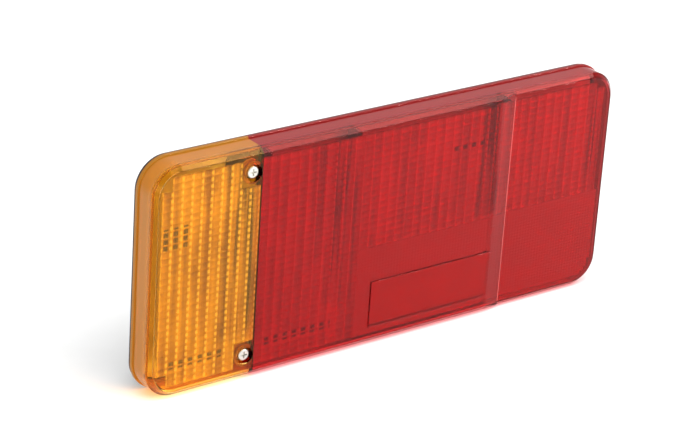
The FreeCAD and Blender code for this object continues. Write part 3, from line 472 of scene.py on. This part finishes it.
class TAILLIGHT_OT_reflex(bpy.types.Operator):
    """Cuts the corner-cube prisms of the reflex plate and lays the seam bead beside the step, its lighter
    colour a painted highlight
    """

    bl_idname = "taillight.reflex"
    bl_label = "Reflex plate"

    def execute(self, context):
        low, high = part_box("reflex_insert")
        pitch = 2.6 * MM
        columns = round((high.x - low.x) / pitch)
        rows = round((high.z - low.z) / pitch)
        wide, tall = (high.x - low.x) / columns, (high.z - low.z) / rows
        front = low.y + REFLEX_BOND
        valley = low.y + 0.5 * (high.y - low.y)
        bm = bmesh.new()
        grid = [[bm.verts.new((low.x + i * wide, valley, low.z + j * tall)) for j in range(rows + 1)]
                for i in range(columns + 1)]
        for i in range(columns):
            for j in range(rows):
                peak = bm.verts.new((low.x + (i + 0.5) * wide, high.y, low.z + (j + 0.5) * tall))
                ring = (grid[i][j], grid[i + 1][j], grid[i + 1][j + 1], grid[i][j + 1])
                for first, second in zip(ring, ring[1:] + ring[:1]):
                    bm.faces.new((first, second, peak))
        rim = [grid[i][0] for i in range(columns)] + [grid[columns][j] for j in range(rows)]
        rim += [grid[i][rows] for i in range(columns, 0, -1)] + [grid[0][j] for j in range(rows, 0, -1)]
        front_rim = [bm.verts.new((v.co.x, front, v.co.z)) for v in rim]
        for k, vert in enumerate(rim):
            after = (k + 1) % len(rim)
            bm.faces.new((vert, rim[after], front_rim[after], front_rim[k]))
        bm.faces.new(front_rim)
        red_low, red_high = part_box("red_lens")
        part("reflex_prisms", bm, MADE["reflex"], "lens", False, "reflex_insert")
        bm = bmesh.new()
        box_mesh(bm, (TAIL_END + 0.4 * MM, high.y + 0.05 * MM, red_low.z + 6.0 * MM),
                 (RAMP_START - 0.4 * MM, high.y + 0.35 * MM, high.z + 8.0 * MM))
        part("stop_lens_filter", bm, MADE["red_flutes"], "lens", False)
        seam = SEAM
        face = FRONT_FACE + STEP
        # painted highlight: a thin opaque bead of lighter red stands for the bright line at the step
        bm = bmesh.new()
        box_mesh(bm, (seam - 0.3 * MM, face - 0.25 * MM, red_low.z + 5.0 * MM),
                 (seam + 0.1 * MM, face + 0.2 * MM, red_high.z - 5.0 * MM))
        part("lens_weld_line", bm, MADE["weld"], "lens", False)
        return {"FINISHED"}


def optic_field(left, right, low, high, front, pitch_x, pitch_z, rise_x, rise_z, keep, steps):
    """Closed slab sunk in the lens's inner face: flat front, pillows on one shared lattice behind."""
    first_column = math.ceil((left - LATTICE_X) / pitch_x - LATTICE_SLACK)
    last_column = math.floor((right - LATTICE_X) / pitch_x + LATTICE_SLACK)
    first_row = math.ceil(low / pitch_z - LATTICE_SLACK)
    last_row = math.floor(high / pitch_z + LATTICE_SLACK)
    bm = bmesh.new()
    made = {}

    def vertex(i, j, back):
        key = (i, j, back)
        if key not in made:
            u = (i % steps) / steps * 2 - 1
            w = (j % steps) / steps * 2 - 1
            bulge = rise_x * (1 - u * u) + rise_z * (1 - w * w)
            y = front + SLAB_THICKNESS + bulge if back else front
            made[key] = bm.verts.new((LATTICE_X + i / steps * pitch_x, y, j / steps * pitch_z))
        return made[key]

    filled = {(c, r) for c in range(first_column, last_column) for r in range(first_row, last_row)
              if keep(LATTICE_X + (c + 0.5) * pitch_x, (r + 0.5) * pitch_z, pitch_x / 2, pitch_z / 2)}
    for column, row in sorted(filled):
        for i in range(column * steps, (column + 1) * steps):
            for j in range(row * steps, (row + 1) * steps):
                ring = ((i, j), (i + 1, j), (i + 1, j + 1), (i, j + 1))
                bm.faces.new([vertex(a, b, False) for a, b in ring])
                bm.faces.new([vertex(a, b, True) for a, b in ring]).material_index = 1
        sides = (((-1, 0), [(0, k) for k in range(steps + 1)]),
                 ((1, 0), [(steps, k) for k in range(steps + 1)]),
                 ((0, -1), [(k, 0) for k in range(steps + 1)]),
                 ((0, 1), [(k, steps) for k in range(steps + 1)]))
        for (dc, dr), edge in sides:
            if (column + dc, row + dr) in filled:
                continue
            points = [(column * steps + a, row * steps + b) for a, b in edge]
            for first, second in zip(points, points[1:]):
                bm.faces.new([vertex(*first, False), vertex(*second, False), vertex(*second, True),
                              vertex(*first, True)])
    return bm


SLAB_THICKNESS = 0.5 * MM
SLAB_SINK = 0.3 * MM


class TAILLIGHT_OT_optics(bpy.types.Operator):
    """Moulds the pillow optics on the inside of the lens"""

    bl_idname = "taillight.optics"
    bl_label = "Lens optics"

    def execute(self, context):
        lens = context.scene.tail_light_lens
        amber_low, amber_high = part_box("amber_lens")
        red_low, red_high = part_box("red_lens")
        screw_low, screw_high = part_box("lens_screw_upper")
        split = amber_high.x
        edge = 6.0 * MM
        corner = 14.0 * MM
        pocket = 7.6 * MM
        face = amber_low.y
        inner = face + lens.wall - SLAB_SINK
        left, right = amber_low.x + edge, red_high.x - edge
        low, high = amber_low.z + edge, amber_high.z - edge
        screw_x = (screw_low.x + screw_high.x) / 2
        screw_z = (screw_low.z + screw_high.z) / 2
        seam, ramp, tail_end = SEAM, RAMP_START, TAIL_END
        reflex_low, reflex_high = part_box("reflex_insert")

        def keep(x, z, half_x, half_z):
            for sx in (-1, 1):
                for sz in (-1, 1):
                    px, pz = x + sx * half_x, z + sz * half_z
                    dx = max(left + corner - px, px - (right - corner), 0)
                    dz = max(low + corner - pz, pz - (high - corner), 0)
                    if math.hypot(dx, dz) > corner:
                        return False
                    if x < split and math.hypot(px - screw_x, abs(pz) - screw_z) < pocket:
                        return False
            if abs(x - screw_x) < half_x and abs(abs(z) - screw_z) < half_z:
                return False
            inside_x = reflex_low.x - 0.5 * MM < x + half_x and x - half_x < reflex_high.x + 0.5 * MM
            inside_z = reflex_low.z - 0.5 * MM < z + half_z and z - half_z < reflex_high.z + 0.5 * MM
            return not (inside_x and inside_z)

        pillow = (lens.column_pitch, lens.row_pitch, lens.column_rise, lens.row_rise)
        flute = (lens.flute_pitch, lens.row_pitch / 2, lens.flute_rise, lens.flute_rise)
        top = lens.plain_zone_top
        fields = (
            ("amber_lens_optics", left, split, low, high, inner, pillow, "amber", 5),
            ("tail_lens_optics", split, tail_end, low, high, inner, pillow, "red", 5),
            ("stop_lens_optics", tail_end, ramp, top, high, inner, pillow, "red", 5),
            ("fog_lens_optics", seam, right, top, high, inner + STEP, pillow, "red", 5),
            ("ramp_lens_optics", ramp, seam, top, high, inner + STEP, pillow, "red", 5),
            ("stop_lens_flutes", tail_end, ramp, low, top, inner, flute, "flutes", 2),
            ("ramp_lens_flutes", ramp, seam, low, top, inner + STEP, flute, "flutes", 2),
            ("fog_lens_flutes", seam, right, low, top, inner + STEP, flute, "flutes", 2),
        )
        backs = {"amber": ("amber_optics", "amber_plastic"), "red": ("red_optics", "red_plastic"),
                 "flutes": ("red_flutes", "red_plastic")}
        for name, x0, x1, z0, z1, y, shape, colour, steps in fields:
            back, slot = backs[colour]
            field = part(name, optic_field(x0, x1, z0, z1, y, *shape, keep, steps), MADE["clear"], "lens",
                         False)
            field.data.materials.append(MADE[back])
        return {"FINISHED"}


class TAILLIGHT_OT_housing(bpy.types.Operator):
    """Dresses the housing, seal, grommet, screws and studs"""

    bl_idname = "taillight.housing"
    bl_label = "Housing"

    def execute(self, context):
        dress("base_housing", MADE["black"])
        dress("chamber_walls", MADE["black"])
        for node in ("lens_seal", "cable_grommet", "screw_washer_upper", "screw_washer_lower"):
            dress(node, MADE["rubber"])
        for node in ("lens_screw_upper", "lens_screw_lower", "mounting_studs", "terminal_screws"):
            dress(node, MADE["zinc"])
        dress("screw_inserts", MADE["brass"])
        dress("terminal_block", MADE["white"])
        dress("earth_strip", MADE["brass"])
        return {"FINISHED"}


class TAILLIGHT_OT_bulbs(bpy.types.Operator):
    """Dresses the bulbs, sockets and reflectors"""

    bl_idname = "taillight.bulbs"
    bl_label = "Bulbs and reflectors"

    def execute(self, context):
        finishes = {"bulb_glass": "glass", "bulb_cap": "brass", "bulb_filament": "tungsten",
                    "socket": "steel",
                    "contact_plunger": "brass", "contact_spring": "steel", "reflector": "silver",
                    "feed_strip": "brass"}
        for chamber in CHAMBERS:
            for kind, made in finishes.items():
                dress(chamber + "_" + kind, MADE[made])
        return {"FINISHED"}


class TAILLIGHT_OT_stage(bpy.types.Operator):
    """Lays the floor and sets the studio light and the camera"""

    bl_idname = "taillight.stage"
    bl_label = "Stage"

    def execute(self, context):
        stage = context.scene.tail_light_stage
        low, high = CAD_BOX
        size = 3.0
        bm = bmesh.new()
        bmesh.ops.create_grid(bm, x_segments=8, y_segments=8, size=size)
        mesh = bpy.data.meshes.new("studio_floor")
        bm.to_mesh(mesh)
        bm.free()
        floor = bpy.data.objects.new("studio_floor", mesh)
        floor.location.z = low[2]
        mesh.materials.append(moulded("Studio paper, matt", linear(stage.floor), linear("#FAFAFA"), 0.8,
                                      1.2 * MM, 0.02 * MM, 0.2))
        context.scene.collection.objects.link(floor)
        for name, place, size_x, size_y, power in LAMPS:
            data = bpy.data.lights.new(name, "AREA")
            data.shape = "RECTANGLE"
            data.size, data.size_y = size_x, size_y
            data.energy = power
            lamp = bpy.data.objects.new(name, data)
            lamp.location = place
            lamp.rotation_euler = (-Vector(place)).to_track_quat("-Z", "Y").to_euler()
            context.scene.collection.objects.link(lamp)
        world = bpy.data.worlds.new("Studio surround")
        world.use_nodes = True
        world.node_tree.nodes["Background"].inputs["Color"].default_value = (1, 1, 1, 1)
        world.node_tree.nodes["Background"].inputs["Strength"].default_value = stage.sky
        context.scene.world = world
        data = bpy.data.cameras.new("camera")
        data.lens = stage.focal_length
        data.sensor_width = 36.0
        camera = bpy.data.objects.new("camera", data)
        turn = Vector(stage.camera_view).to_track_quat("-Z", "Y").to_matrix()
        turn = turn @ Matrix.Rotation(stage.camera_roll, 3, "Z")
        camera.matrix_world = Matrix.Translation(stage.camera_place) @ turn.to_4x4()
        context.scene.collection.objects.link(camera)
        context.scene.camera = camera
        context.scene.view_settings.view_transform = "Standard"
        return {"FINISHED"}


# name, place, width, height, watts
LAMPS = (
    ("edge_softbox", (1.02, -1.45, 0.41), 0.7, 0.08, 18),
    ("corner_softbox", (0.11, -1.78, 0.17), 0.05, 0.05, 1.5),
    ("chamfer_softbox", (1.00, -0.75, 1.35), 0.8, 0.6, 9),
    ("top_softbox", (-0.2, -0.6, 1.8), 1.6, 1.2, 20),
    ("left_softbox", (-1.8, -0.9, 0.6), 1.0, 1.0, 10),
)


class TAILLIGHT_PT_panel(bpy.types.Panel):
    """Buttons for each piece of the tail light"""

    bl_idname = "TAILLIGHT_PT_panel"
    bl_label = "Tail Light"
    bl_space_type = "VIEW_3D"
    bl_region_type = "UI"
    bl_category = "Tail Light"

    def draw(self, context):
        for operator in OPERATORS:
            self.layout.operator(operator.bl_idname)


SETTINGS = {"tail_light_lens": TailLightLensSettings, "tail_light_stage": TailLightStageSettings}
OPERATORS = (TAILLIGHT_OT_finishes, TAILLIGHT_OT_lens, TAILLIGHT_OT_reflex, TAILLIGHT_OT_optics,
             TAILLIGHT_OT_housing,
             TAILLIGHT_OT_bulbs, TAILLIGHT_OT_stage)


def register():
    for cls in tuple(SETTINGS.values()) + OPERATORS + (TAILLIGHT_PT_panel,):
        bpy.utils.register_class(cls)
    for name, group in SETTINGS.items():
        setattr(bpy.types.Scene, name, bpy.props.PointerProperty(type=group))


def unregister():
    for name in SETTINGS:
        delattr(bpy.types.Scene, name)
    for cls in (TAILLIGHT_PT_panel,) + OPERATORS[::-1] + tuple(SETTINGS.values()):
        bpy.utils.unregister_class(cls)


def main():
    """Registers the add-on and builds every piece."""
    register()
    for operator in OPERATORS:
        group, action = operator.bl_idname.split(".")
        getattr(getattr(bpy.ops, group), action)()


if __name__ == "__main__":
    main()
